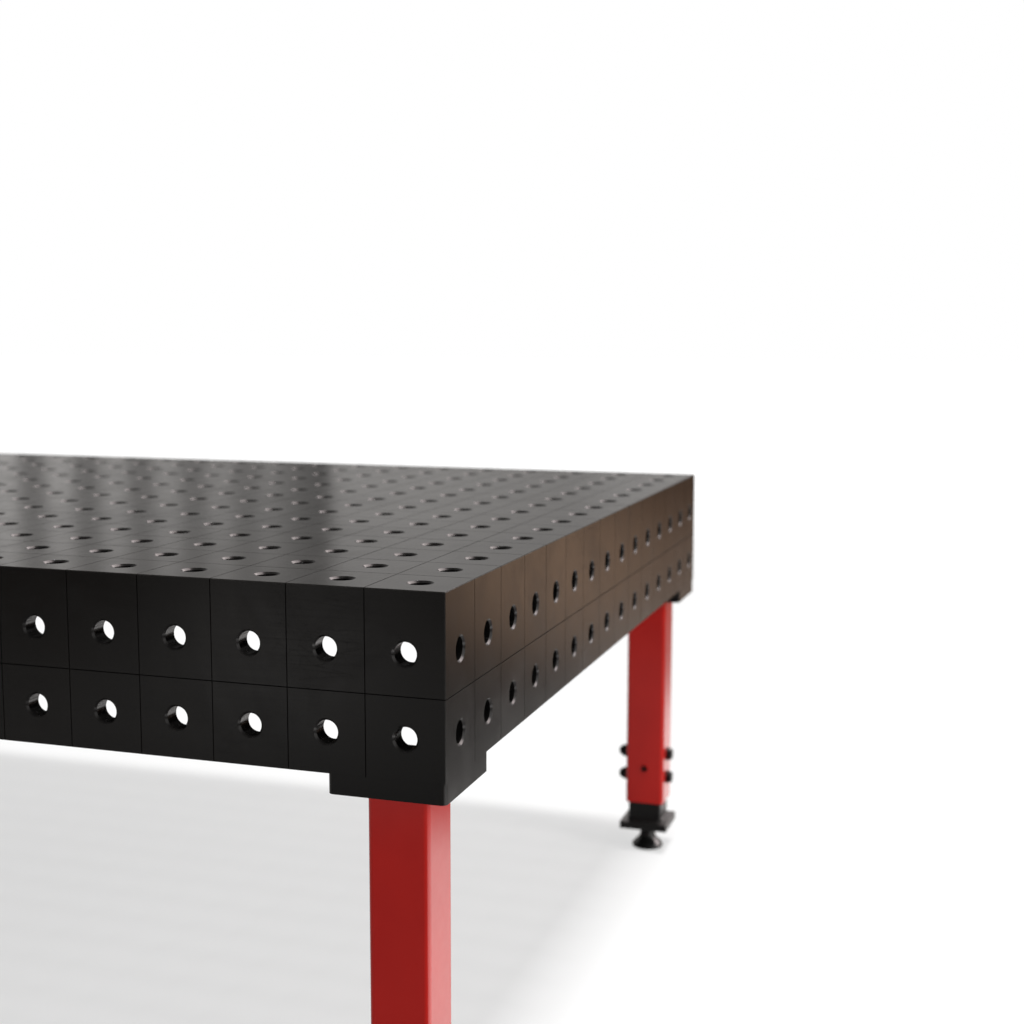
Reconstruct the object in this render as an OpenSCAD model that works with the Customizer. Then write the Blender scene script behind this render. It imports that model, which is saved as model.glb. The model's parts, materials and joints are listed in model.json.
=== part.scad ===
// Welding table: five perforated 25 mm plates welded into a box that is open
// underneath, on four telescopic square legs with screw levelling feet.
// Millimetres, +X right, +Y to the rear, +Z up, origin on the floor under the
// centre of the table top.

/* [Table top] */
// Length of the table top along X, an even number of grid cells
table_length = 3000; // [1800:200:4000]
// Width of the table top along Y, an odd number of grid cells
table_width = 1500; // [1100:200:2100]
// Height of the working surface above the floor as shown
table_height = 795; // [790:1:800]
// Thickness of the top, side, end and corner plates
plate_t = 25; // [20:1:28]
// Height of the sides measured from the working surface
side_height = 225; // [225:5:240]

/* [Hole system] */
// Distance between neighbouring system holes
grid = 100; // [100]
// Diameter of the system holes
hole_d = 28; // [16:1:28]
// Distance of the upper row of side holes below the working surface
side_row_1 = 75; // [60:1:85]
// Distance of the lower row of side holes below the working surface
side_row_2 = 175; // [165:1:180]

/* [Ribs] */
// Thickness of the stiffening ribs under the top
rib_t = 12; // [8:1:16]
// Height of the stiffening ribs
rib_h = 100; // [60:5:110]

/* [Legs] */
// Side of the square leg mounting plate at each corner
mount_size = 150; // [130:5:180]
// Corner radius of the mounting plate
mount_r = 8; // [2:1:15]
// Bevel on the upper inner edges of the corner plates
mount_bevel = 8; // [4:1:10]
// Outer width of the painted square leg tube
leg_w = 80; // [80:1:84]
// Wall of the painted leg tube
leg_wall = 5; // [4.5:0.1:5]
// Corner radius of the painted leg tube
leg_r = 8; // [4:1:10]
// Height of the painted tube's lower end above the floor
leg_end_z = 105; // [100:1:106]
// Outer width of the inner telescopic tube
inner_w = 69; // [66:0.5:69]
// Wall of the inner telescopic tube
inner_wall = 4; // [3:0.5:4]
// Height of the inner tube's upper end above the floor
inner_top_z = 335; // [330:1:380]

/* [Clamping] */
// Shank diameter of the two clamping bolts in each leg
clamp_d = 14; // [10:1:14]
// Height of the lower clamping bolt above the floor
clamp_z1 = 155; // [150:1:158]
// Height of the upper clamping bolt above the floor
clamp_z2 = 205; // [200:1:208]
// Diameter of the set screw between the clamping bolts
set_d = 12; // [8:1:12]

/* [Levelling feet] */
// Width of the square foot plate under the inner tube
foot_plate_w = 100; // [90:1:110]
// Thickness of the foot plate
foot_plate_t = 15; // [10:1:15]
// Diameter of the foot's threaded spindle
spindle_d = 20; // [16:1:20]
// Diameter of the foot pad's base
pad_d = 65; // [60:1:80]

/* [Hidden] */
// facets of round parts and of the ball joint
fine = 48;
finest = 64;

// clearances and overruns
gap = 0.05;         // running clearance on a radius or at an end
hole_play = 1;      // added to the diameter of clearance holes
over = 1;           // small overrun of cutters, and overlap of joined shapes
cut = 5;            // overrun of the larger cutters

// table body
half_length = table_length / 2;
half_width = table_width / 2;
holes_x = round(table_length / grid);
holes_y = round(table_width / grid);
side_z = table_height - side_height;   // lower edge of the side plates
mount_z = side_z - plate_t;            // underside of the corner plates
rib_z = table_height - plate_t - rib_h;
rib_slot_gap = 0.25;                   // play on each side of a crossing rib
rib_x = round(table_length * 7 / 30 / grid) * grid;
rib_y = round((table_width / 6 - grid / 2) / grid) * grid + grid / 2;

// legs
leg_x = half_length - mount_size / 2;  // leg axis
leg_y = half_width - mount_size / 2;
front_right = [1, -1];                 // signs of X and Y at each leg
front_left = [-1, -1];
rear_right = [1, 1];
rear_left = [-1, 1];
flange_t = 12;
flange_w = leg_w - 2 * leg_wall;
screw_d = 10;                          // screws joining corner plate and flange
screw_length = 35;
screw_offset = 22;                     // from the leg axis, along X and Y
inner_r = 4;                           // corner radius of the inner tube

// clamping
clamp_heights = [clamp_z1, clamp_z2];
clamp_slot_rise = 101;                 // slot's upper centre above the upper bolt
washer_t = 2.5;
clamp_reach = 11;                      // bolt length inside the cap nut
dome_r = 0.82 * clamp_d;               // dome of the cap nuts
nut_h = clamp_d + 7;                   // height of the cap nuts
nut_bore_depth = 13;
nut_bore_play = 0.3;                   // on the diameter
nut_bore_over = 3;
set_z = (clamp_z1 + clamp_z2) / 2;
set_length = 8;

// feet
foot_plate_top = 64;
foot_plate_r = 2;
foot_nut_h = 16;
ball_z = 16;                           // centre of the swivel ball
ball_r = 12;
ball_flat = 8;                         // flat above the ball's centre
ball_bore_drop = 4;                    // bore's bottom below the ball's centre
tip_r = 7;                             // smooth spindle end inside the ball
spindle_hex_af = 30;                   // across flats
spindle_hex_z0 = 38.7;
spindle_hex_z1 = 48.7;
spindle_top = 110;
spindle_chamfer = 2;
pad_mouth_r = 10.3;                    // opening above the ball
pad_bore_h = 30;                       // length of the bore cutters in pad and ball

// half section of the pad before its socket is cut: [radius, height]
pad_profile = [
  [0, 0], [pad_d / 2 - 1, 0], [pad_d / 2, 1], [pad_d / 2, 5.5], [pad_d / 2 - 1.2, 7.5],
  [26, 13.5], [20.5, 18.5], [17, 24], [15.5, 30], [15, 33.5], [14.5, 34], [0, 34]
];

col_steel = [0.12, 0.115, 0.11];
col_dark = [0.07, 0.068, 0.065];
col_red = [0.75, 0.10, 0.07];
col_zinc = [0.18, 0.18, 0.19];

// ---- shared shapes -------------------------------------------------------

// places of a row of holes on the grid, centred on zero
function grid_places(count) = [for (i = [0 : count - 1]) (i - (count - 1) / 2) * grid];

// rectangle centred on the origin, with a hole at every column and row
module grid_sheet(width, height, columns, rows) {
  difference() {
    square([width, height], center = true);
    for (x = columns, y = rows)
      translate([x, y]) circle(d = hole_d, $fn = fine);
  }
}

// square with true quarter-round corners
module round_square(width, radius) {
  union() {
    square([width - 2 * radius, width], center = true);
    square([width, width - 2 * radius], center = true);
    for (x = [-1, 1], y = [-1, 1])
      translate([x * (width / 2 - radius), y * (width / 2 - radius)])
        circle(r = radius, $fn = fine);
  }
}

// section of a square tube, rounded outside and sharp inside
module tube_section(width, wall, radius) {
  difference() {
    round_square(width, radius);
    square(width - 2 * wall, center = true);
  }
}

// hexagonal prism, sized across flats
module hex(flats, height) {
  cylinder(d = flats / cos(30), h = height, $fn = 6);
}

// places a leg part, drawn about the leg axis with +X and -Y facing outwards
module at_leg(corner) {
  translate([corner.x * leg_x, corner.y * leg_y, 0])
    mirror([corner.x < 0 ? 1 : 0, 0, 0])
      mirror([0, corner.y > 0 ? 1 : 0, 0])
        children();
}

module at_all_legs() {
  for (corner = [front_left, rear_left, front_right, rear_right])
    at_leg(corner) children();
}

// the four screws of a leg flange, about the leg axis
module at_flange_screws() {
  for (x = [-screw_offset, screw_offset], y = [-screw_offset, screw_offset])
    translate([x, y]) children();
}

// ---- table body ----------------------------------------------------------

// prism along Y that takes off what lies below and to the +X side of the
// 45 degree line from (0, 0) down to (-plate_t, -plate_t) in the XZ plane
module mitre(edge_length) {
  rotate([90, 0, 0])
    linear_extrude(height = edge_length + 4 * cut, center = true)
      polygon([[cut, cut], [-plate_t - cut, -plate_t - cut], [cut, -plate_t - cut]]);
}

module top_plate() {
  color(col_steel)
    difference() {
      translate([0, 0, table_height - plate_t])
        linear_extrude(height = plate_t)
          grid_sheet(table_length, table_width, grid_places(holes_x), grid_places(holes_y));
      for (angle = [0, 180]) {
        rotate([0, 0, angle]) translate([half_length, 0, table_height]) mitre(table_width);
        rotate([0, 0, angle + 90]) translate([half_width, 0, table_height]) mitre(table_length);
      }
    }
}

// upright plate with its outer face at x = face_x, mitred along the top and
// up both vertical edges
module upright(plate_length, face_x, hole_count) {
  far = -plate_t - cut;
  difference() {
    translate([face_x, 0, table_height - side_height / 2])
      rotate([90, 0, -90])
        linear_extrude(height = plate_t)
          grid_sheet(plate_length, side_height, grid_places(hole_count),
                     [side_height / 2 - side_row_1, side_height / 2 - side_row_2]);
    // top edge: keep the outer side of the 45 degree plane
    translate([face_x, 0, table_height])
      rotate([90, 0, 0])
        linear_extrude(height = plate_length + 4 * cut, center = true)
          polygon([[cut, cut], [far, far], [far, cut]]);
    // vertical edges
    for (side = [-1, 1])
      translate([face_x, side * plate_length / 2, side_z - cut])
        linear_extrude(height = side_height + 2 * cut)
          polygon([[cut, cut * side], [far, far * side], [far, cut * side]]);
  }
}

module end_plate_right() {
  color(col_steel) upright(table_width, half_length, holes_y);
}

module end_plate_left() {
  color(col_steel) rotate([0, 0, 180]) upright(table_width, half_length, holes_y);
}

module side_plate_rear() {
  color(col_steel) rotate([0, 0, 90]) upright(table_length, half_width, holes_x);
}

module side_plate_front() {
  color(col_steel) rotate([0, 0, -90]) upright(table_length, half_width, holes_x);
}

// rib along X at y = 0, with slots half its height that start at slot_z
module rib(rib_length, crossings, slot_z) {
  translate([0, rib_t / 2, rib_z])
    rotate([90, 0, 0])
      linear_extrude(height = rib_t)
        difference() {
          translate([-rib_length / 2, 0]) square([rib_length, rib_h]);
          for (x = crossings)
            translate([x - rib_t / 2 - rib_slot_gap, slot_z])
              square([rib_t + 2 * rib_slot_gap, rib_h / 2 + over]);
        }
}

// long rib, slotted from below where the cross ribs pass
module long_rib(y) {
  color(col_dark)
    translate([0, y, 0])
      rib(table_length - 2 * plate_t, [-rib_x, 0, rib_x], -over);
}

// cross rib, slotted from above where the long ribs pass
module cross_rib(x) {
  color(col_dark)
    translate([x, 0, 0])
      rotate([0, 0, -90])
        rib(table_width - 2 * plate_t, [-rib_y, rib_y], rib_h / 2);
}

module rib_long_front()   { long_rib(-rib_y); }
module rib_long_rear()    { long_rib(rib_y); }
module rib_cross_left()   { cross_rib(-rib_x); }
module rib_cross_middle() { cross_rib(0); }
module rib_cross_right()  { cross_rib(rib_x); }

// square mounting plate under each corner, flush with both outer faces
module corner_plate() {
  bevel_side = sqrt(2) * mount_bevel;
  color(col_steel)
    translate([0, 0, mount_z])
      difference() {
        linear_extrude(height = plate_t)
          difference() {
            round_square(mount_size, mount_r);
            at_flange_screws() circle(d = screw_d + hole_play, $fn = fine);
          }
        // upper inner edges bevelled, as far as the upright plates
        intersection() {
          translate([-mount_size, plate_t - mount_size / 2, 0])
            cube([1.5 * mount_size - plate_t, 1.5 * mount_size, 2 * plate_t]);
          for (angle = [90, 180])
            rotate([0, 0, angle])
              translate([mount_size / 2, 0, plate_t])
                rotate([0, 45, 0])
                  cube([bevel_side, 2 * mount_size, bevel_side], center = true);
        }
      }
}

// ---- fixed part of a leg -------------------------------------------------

module leg_tube() {
  color(col_red)
    difference() {
      translate([0, 0, leg_end_z])
        linear_extrude(height = mount_z - leg_end_z)
          tube_section(leg_w, leg_wall, leg_r);
      for (z = clamp_heights)
        translate([0, 0, z]) rotate([0, 90, 0])
          cylinder(d = clamp_d + hole_play, h = leg_w + 4 * cut, center = true, $fn = fine);
      // hole for the set screw, on the side towards the table's centre line
      translate([0, leg_w / 2 + cut, set_z]) rotate([90, 0, 0])
        cylinder(d = set_d + 2 * gap, h = leg_wall + 2 * cut, $fn = fine);
    }
}

// plate inside the top of the tube, with holes for four screws
module leg_flange() {
  color(col_zinc)
    translate([0, 0, mount_z - flange_t])
      linear_extrude(height = flange_t)
        difference() {
          square(flange_w, center = true);
          at_flange_screws() circle(d = screw_d + 2 * gap, $fn = fine);
        }
}

// socket head screw, head upwards, underside of the head at z = 0
module socket_screw(shank_d, shank_length) {
  difference() {
    union() {
      cylinder(d = 1.6 * shank_d, h = shank_d, $fn = fine);
      translate([0, 0, -shank_length])
        cylinder(d = shank_d, h = shank_length + over, $fn = fine);
    }
    translate([0, 0, shank_d / 2]) hex(0.8 * shank_d, shank_d);
  }
}

module flange_screws() {
  color(col_zinc)
    at_all_legs()
      translate([0, 0, side_z])
        at_flange_screws() socket_screw(screw_d, screw_length);
}

// hexagon bolts through the leg along X, heads outwards
module clamp_bolts() {
  shank_length = leg_w + 2 * washer_t + clamp_reach;
  color(col_zinc)
    at_all_legs()
      for (z = clamp_heights)
        translate([leg_w / 2 + washer_t, 0, z]) rotate([0, 90, 0])
          union() {
            hex(1.5 * clamp_d, 0.625 * clamp_d);
            translate([0, 0, -shank_length])
              cylinder(d = clamp_d, h = shank_length + over, $fn = fine);
          }
}

module clamp_washers() {
  color(col_zinc)
    at_all_legs()
      for (z = clamp_heights, x = [-leg_w / 2 - washer_t, leg_w / 2])
        translate([x, 0, z]) rotate([0, 90, 0])
          difference() {
            cylinder(d = 2 * clamp_d, h = washer_t, $fn = fine);
            translate([0, 0, -over])
              cylinder(d = clamp_d + hole_play, h = 2 * washer_t, $fn = fine);
          }
}

// domed cap nuts with a blind bore
module clamp_nuts() {
  color(col_zinc)
    at_all_legs()
      for (z = clamp_heights)
        translate([-leg_w / 2 - washer_t, 0, z]) rotate([0, -90, 0])
          difference() {
            union() {
              hex(1.7 * clamp_d, 0.8 * clamp_d);
              cylinder(r = dome_r, h = nut_h - dome_r, $fn = fine);
              translate([0, 0, nut_h - dome_r]) sphere(r = dome_r, $fn = fine);
            }
            translate([0, 0, -nut_bore_over])
              cylinder(d = clamp_d + nut_bore_play, h = nut_bore_depth + nut_bore_over,
                       $fn = fine);
          }
}

// headless screws that end just short of the inner tube, sockets facing +Y
module set_screws() {
  color(col_zinc)
    at_all_legs()
      translate([0, inner_w / 2 + gap, set_z]) rotate([-90, 0, 0])
        difference() {
          cylinder(d = set_d, h = set_length, $fn = fine);
          translate([0, 0, set_length - 0.5 * set_d]) hex(0.5 * set_d, set_d);
        }
}

// ---- sliding part of a leg -----------------------------------------------

// slot along Z, cut right through along X, round ends centred at z0 and z1
module through_slot(width, z0, z1) {
  rotate([90, 0, 90])
    linear_extrude(height = inner_w + 4 * cut, center = true)
      union() {
        translate([-width / 2, z0]) square([width, z1 - z0]);
        translate([0, z0]) circle(d = width, $fn = fine);
        translate([0, z1]) circle(d = width, $fn = fine);
      }
}

// inner tube, slotted for the clamping bolts
module inner_tube() {
  color(col_dark)
    difference() {
      translate([0, 0, foot_plate_top])
        linear_extrude(height = inner_top_z - foot_plate_top)
          tube_section(inner_w, inner_wall, inner_r);
      through_slot(clamp_d + hole_play, clamp_z1, clamp_z2 + clamp_slot_rise);
    }
}

module foot_plate() {
  color(col_dark)
    translate([0, 0, foot_plate_top - foot_plate_t])
      linear_extrude(height = foot_plate_t)
        difference() {
          round_square(foot_plate_w, foot_plate_r);
          circle(d = spindle_d + hole_play, $fn = fine);
        }
}

// nut on top of the foot plate, inside the inner tube
module foot_nut() {
  color(col_zinc)
    translate([0, 0, foot_plate_top])
      difference() {
        hex(1.5 * spindle_d, foot_nut_h);
        translate([0, 0, -over])
          cylinder(r = spindle_d / 2 + gap, h = foot_nut_h + 2 * over, $fn = fine);
      }
}

// ---- levelling foot ------------------------------------------------------

// ball with a blind bore: the spindle's end turns in it and the pad tilts on it
module swivel_ball() {
  color(col_zinc)
    translate([0, 0, ball_z])
      difference() {
        sphere(r = ball_r, $fn = finest);
        translate([-20, -20, ball_flat]) cube([40, 40, 20]);
        translate([0, 0, -ball_bore_drop])
          cylinder(r = tip_r + gap, h = pad_bore_h, $fn = fine);
      }
}

// smooth tip, hexagon, threaded length and chamfered end, from below
module foot_spindle() {
  tip_z = ball_z - ball_bore_drop;
  thread_z = spindle_hex_z1 - over;
  chamfer_z = spindle_top - spindle_chamfer;
  color(col_zinc)
    union() {
      translate([0, 0, tip_z + gap])
        cylinder(r = tip_r, h = spindle_hex_z0 + over - tip_z, $fn = fine);
      translate([0, 0, spindle_hex_z0])
        hex(spindle_hex_af, spindle_hex_z1 - spindle_hex_z0);
      translate([0, 0, thread_z])
        cylinder(d = spindle_d, h = chamfer_z - thread_z, $fn = fine);
      translate([0, 0, chamfer_z])
        cylinder(d1 = spindle_d, d2 = spindle_d - 2 * spindle_chamfer, h = spindle_chamfer,
                 $fn = fine);
    }
}

module foot_pad() {
  color(col_dark)
    difference() {
      rotate_extrude($fn = finest) polygon(pad_profile);
      translate([0, 0, ball_z]) sphere(r = ball_r + gap, $fn = finest);
      translate([0, 0, ball_z]) cylinder(r = pad_mouth_r, h = pad_bore_h, $fn = fine);
    }
}

// ---- placed pieces -------------------------------------------------------

module corner_plate_fr() { at_leg(front_right) corner_plate(); }
module corner_plate_fl() { at_leg(front_left) corner_plate(); }
module corner_plate_rr() { at_leg(rear_right) corner_plate(); }
module corner_plate_rl() { at_leg(rear_left) corner_plate(); }
module leg_tube_fr() { at_leg(front_right) leg_tube(); }
module leg_tube_fl() { at_leg(front_left) leg_tube(); }
module leg_tube_rr() { at_leg(rear_right) leg_tube(); }
module leg_tube_rl() { at_leg(rear_left) leg_tube(); }
module leg_flange_fr() { at_leg(front_right) leg_flange(); }
module leg_flange_fl() { at_leg(front_left) leg_flange(); }
module leg_flange_rr() { at_leg(rear_right) leg_flange(); }
module leg_flange_rl() { at_leg(rear_left) leg_flange(); }
module inner_tube_fr() { at_leg(front_right) inner_tube(); }
module inner_tube_fl() { at_leg(front_left) inner_tube(); }
module inner_tube_rr() { at_leg(rear_right) inner_tube(); }
module inner_tube_rl() { at_leg(rear_left) inner_tube(); }
module foot_plate_fr() { at_leg(front_right) foot_plate(); }
module foot_plate_fl() { at_leg(front_left) foot_plate(); }
module foot_plate_rr() { at_leg(rear_right) foot_plate(); }
module foot_plate_rl() { at_leg(rear_left) foot_plate(); }
module foot_nut_fr() { at_leg(front_right) foot_nut(); }
module foot_nut_fl() { at_leg(front_left) foot_nut(); }
module foot_nut_rr() { at_leg(rear_right) foot_nut(); }
module foot_nut_rl() { at_leg(rear_left) foot_nut(); }
module swivel_ball_fr() { at_leg(front_right) swivel_ball(); }
module swivel_ball_fl() { at_leg(front_left) swivel_ball(); }
module swivel_ball_rr() { at_leg(rear_right) swivel_ball(); }
module swivel_ball_rl() { at_leg(rear_left) swivel_ball(); }
module foot_spindle_fr() { at_leg(front_right) foot_spindle(); }
module foot_spindle_fl() { at_leg(front_left) foot_spindle(); }
module foot_spindle_rr() { at_leg(rear_right) foot_spindle(); }
module foot_spindle_rl() { at_leg(rear_left) foot_spindle(); }
module foot_pad_fr() { at_leg(front_right) foot_pad(); }
module foot_pad_fl() { at_leg(front_left) foot_pad(); }
module foot_pad_rr() { at_leg(rear_right) foot_pad(); }
module foot_pad_rl() { at_leg(rear_left) foot_pad(); }

top_plate();
side_plate_front();
side_plate_rear();
end_plate_left();
end_plate_right();
rib_long_front();
rib_long_rear();
rib_cross_left();
rib_cross_middle();
rib_cross_right();
corner_plate_fr();
corner_plate_fl();
corner_plate_rr();
corner_plate_rl();
leg_tube_fr();
leg_tube_fl();
leg_tube_rr();
leg_tube_rl();
leg_flange_fr();
leg_flange_fl();
leg_flange_rr();
leg_flange_rl();
flange_screws();
clamp_bolts();
clamp_washers();
clamp_nuts();
set_screws();
inner_tube_fr();
inner_tube_fl();
inner_tube_rr();
inner_tube_rl();
foot_plate_fr();
foot_plate_fl();
foot_plate_rr();
foot_plate_rl();
foot_nut_fr();
foot_nut_fl();
foot_nut_rr();
foot_nut_rl();
swivel_ball_fr();
swivel_ball_fl();
swivel_ball_rr();
swivel_ball_rl();
foot_spindle_fr();
foot_spindle_fl();
foot_spindle_rr();
foot_spindle_rl();
foot_pad_fr();
foot_pad_fl();
foot_pad_rr();
foot_pad_rl();
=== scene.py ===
import json
import math
import random
import bmesh
import bpy
import numpy as np
from mathutils import Matrix, Vector

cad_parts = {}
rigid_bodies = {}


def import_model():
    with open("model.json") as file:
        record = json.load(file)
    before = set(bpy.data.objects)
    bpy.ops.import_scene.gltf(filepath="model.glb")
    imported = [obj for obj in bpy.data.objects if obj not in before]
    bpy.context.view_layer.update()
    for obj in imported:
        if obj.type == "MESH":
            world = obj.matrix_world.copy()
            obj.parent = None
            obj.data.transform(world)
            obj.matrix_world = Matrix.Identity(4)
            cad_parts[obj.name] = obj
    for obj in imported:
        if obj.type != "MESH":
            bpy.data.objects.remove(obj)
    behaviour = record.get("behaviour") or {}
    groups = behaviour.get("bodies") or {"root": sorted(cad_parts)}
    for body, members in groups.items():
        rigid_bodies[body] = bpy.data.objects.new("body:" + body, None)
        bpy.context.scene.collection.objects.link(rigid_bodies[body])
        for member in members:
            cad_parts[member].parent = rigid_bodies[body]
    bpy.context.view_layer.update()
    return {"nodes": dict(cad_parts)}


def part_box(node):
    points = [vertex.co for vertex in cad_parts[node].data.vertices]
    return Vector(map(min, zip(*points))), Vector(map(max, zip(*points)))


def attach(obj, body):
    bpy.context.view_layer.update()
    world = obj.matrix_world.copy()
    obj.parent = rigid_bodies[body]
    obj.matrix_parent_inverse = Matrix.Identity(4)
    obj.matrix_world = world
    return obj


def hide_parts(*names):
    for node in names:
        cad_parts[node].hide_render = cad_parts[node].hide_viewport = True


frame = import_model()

NODES = frame["nodes"]
RNG = random.Random(28)

# ------------------------------------------------------------------ sizes, read from the frame
TOP_LO, TOP_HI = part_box("top_plate")
L2, W2, H = TOP_HI.x, TOP_HI.y, TOP_HI.z
PT = TOP_HI.z - TOP_LO.z                       # plate thickness
SIDE_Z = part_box("side_plate_front")[0].z       # lower edge of the sides
G = 0.1                                        # grid
LEGS = {"fr": (1, -1), "fl": (-1, -1), "rr": (1, 1), "rl": (-1, 1)}
_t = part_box("leg_tube_fr")
LX, LY = (_t[0].x + _t[1].x) / 2, -(_t[0].y + _t[1].y) / 2
LEG_Z0, LEG_Z1 = _t[0].z, _t[1].z
LEG_W = _t[1].x - _t[0].x
_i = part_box("inner_tube_fr")
IN_Z0, IN_Z1, IN_W = _i[0].z, _i[1].z, _i[1].x - _i[0].x
_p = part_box("foot_plate_fr")
FP_Z0, FP_Z1, FP_W = _p[0].z, _p[1].z, _p[1].x - _p[0].x
CLAMP_Z = (0.155, 0.205)
SET_Z = 0.180


# ------------------------------------------------------------------ mesh helpers
def link(obj):
    bpy.context.scene.collection.objects.link(obj)
    return obj


def mesh_obj(name, verts, faces, mats=(), idx=None, angle=32.0, merge=None):
    me = bpy.data.meshes.new(name)
    me.from_pydata([tuple(v) for v in verts], [], [tuple(f) for f in faces])
    if idx is not None:
        me.polygons.foreach_set("material_index", np.asarray(idx, dtype=np.int32))
    for m in mats:
        me.materials.append(m)
    if merge:
        bm = bmesh.new()
        bm.from_mesh(me)
        bmesh.ops.remove_doubles(bm, verts=bm.verts, dist=merge)
        bm.to_mesh(me)
        bm.free()
    me.update()
    me.validate()
    me.polygons.foreach_set("use_smooth", [True] * len(me.polygons))
    me.set_sharp_from_angle(angle=math.radians(angle))
    return link(bpy.data.objects.new(name, me))


def from_bmesh(name, bm, mats=(), angle=32.0):
    me = bpy.data.meshes.new(name)
    bmesh.ops.recalc_face_normals(bm, faces=bm.faces)
    bm.to_mesh(me)
    bm.free()
    for m in mats:
        me.materials.append(m)
    me.polygons.foreach_set("use_smooth", [True] * len(me.polygons))
    me.set_sharp_from_angle(angle=math.radians(angle))
    return link(bpy.data.objects.new(name, me))


def apply_modifiers(obj):
    dg = bpy.context.evaluated_depsgraph_get()
    me = bpy.data.meshes.new_from_object(obj.evaluated_get(dg))
    obj.modifiers.clear()
    old = obj.data
    obj.data = me
    if old.users == 0:
        bpy.data.meshes.remove(old)
    return obj


def finish_normals(obj, angle=32.0):
    me = obj.data
    me.polygons.foreach_set("use_smooth", [True] * len(me.polygons))
    me.set_sharp_from_angle(angle=math.radians(angle))


def flat_faces(obj):
    """Shading that keeps the large faces flat right up to their rounded edges."""
    mod = obj.modifiers.new("weighted", "WEIGHTED_NORMAL")
    mod.mode = "FACE_AREA"
    mod.weight = 100
    mod.thresh = 0.01
    mod.keep_sharp = True
    return apply_modifiers(obj)


def refine(node, mat, bevel=0.0006, segments=2, name=None, angle=28.0, clean=True, keep_sharp=None):
    """The CAD solid again, with its sharp edges rounded as a machined or sawn edge is."""
    src = NODES[node]
    bm = bmesh.new()
    bm.from_mesh(src.data)
    bmesh.ops.remove_doubles(bm, verts=bm.verts, dist=2e-6)
    if clean:
        bmesh.ops.dissolve_limit(bm, angle_limit=math.radians(0.6), verts=bm.verts, edges=bm.edges,
                                 use_dissolve_boundaries=False)
    edges = [e for e in bm.edges if len(e.link_faces) == 2 and e.calc_face_angle(0) > math.radians(angle)]
    if keep_sharp:
        edges = [e for e in edges if not keep_sharp(e)]
    if bevel:
        bmesh.ops.bevel(bm, geom=edges, offset=bevel, segments=segments, profile=0.6,
                        affect="EDGES", clamp_overlap=True)
    obj = flat_faces(from_bmesh(name or "v_" + node, bm, [mat], angle=40.0))
    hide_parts(node)
    return obj


# ------------------------------------------------------------------ node material helpers
def material(name):
    m = bpy.data.materials.new(name)
    m.use_nodes = True
    nt = m.node_tree
    nt.nodes.clear()
    out = nt.nodes.new("ShaderNodeOutputMaterial")
    b = nt.nodes.new("ShaderNodeBsdfPrincipled")
    nt.links.new(b.outputs[0], out.inputs[0])
    return m, nt, b


class N:
    """Small helper that builds node chains."""

    def __init__(self, nt):
        self.nt = nt
        self.tc = nt.nodes.new("ShaderNodeTexCoord")

    def link(self, a, b):
        self.nt.links.new(a, b)

    def set(self, socket, value):
        if isinstance(value, bpy.types.NodeSocket):
            self.link(value, socket)
        else:
            socket.default_value = value

    def coord(self, scale=(1, 1, 1), loc=(0, 0, 0), rot=(0, 0, 0)):
        mp = self.nt.nodes.new("ShaderNodeMapping")
        self.link(self.tc.outputs["Object"], mp.inputs["Vector"])
        mp.inputs["Scale"].default_value = scale
        mp.inputs["Location"].default_value = loc
        mp.inputs["Rotation"].default_value = rot
        return mp.outputs[0]

    def noise(self, vec, scale, detail=4.0, rough=0.55, distortion=0.0):
        n = self.nt.nodes.new("ShaderNodeTexNoise")
        self.link(vec, n.inputs["Vector"])
        n.inputs["Scale"].default_value = scale
        n.inputs["Detail"].default_value = detail
        n.inputs["Roughness"].default_value = rough
        n.inputs["Distortion"].default_value = distortion
        return n.outputs["Fac"]

    def voronoi(self, vec, scale, feature="F1", out="Distance"):
        n = self.nt.nodes.new("ShaderNodeTexVoronoi")
        n.feature = feature
        self.link(vec, n.inputs["Vector"])
        n.inputs["Scale"].default_value = scale
        return n.outputs[out]

    def math(self, op, a, b=0.0, c=0.0, clamp=False):
        n = self.nt.nodes.new("ShaderNodeMath")
        n.operation = op
        n.use_clamp = clamp
        self.set(n.inputs[0], a)
        self.set(n.inputs[1], b)
        if len(n.inputs) > 2:
            self.set(n.inputs[2], c)
        return n.outputs[0]

    def ramp(self, fac, lo, hi, a=0.0, b=1.0, smooth=True):
        n = self.nt.nodes.new("ShaderNodeMapRange")
        n.interpolation_type = "SMOOTHSTEP" if smooth else "LINEAR"
        self.set(n.inputs["Value"], fac)
        n.inputs["From Min"].default_value = lo
        n.inputs["From Max"].default_value = hi
        n.inputs["To Min"].default_value = a
        n.inputs["To Max"].default_value = b
        return n.outputs["Result"]

    def mix(self, fac, a, b):
        n = self.nt.nodes.new("ShaderNodeMix")
        n.data_type = "RGBA"
        self.set(n.inputs[0], fac)
        for s, v in ((n.inputs[6], a), (n.inputs[7], b)):
            if isinstance(v, bpy.types.NodeSocket):
                self.link(v, s)
            else:
                s.default_value = (*v, 1.0) if len(v) == 3 else v
        return n.outputs[2]

    def sep(self, vec):
        n = self.nt.nodes.new("ShaderNodeSeparateXYZ")
        self.link(vec, n.inputs[0])
        return n.outputs

    def bump(self, height, strength, distance, normal=None):
        n = self.nt.nodes.new("ShaderNodeBump")
        n.inputs["Strength"].default_value = strength
        n.inputs["Distance"].default_value = distance
        self.link(height, n.inputs["Height"])
        if normal is not None:
            self.link(normal, n.inputs["Normal"])
        return n.outputs[0]


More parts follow.
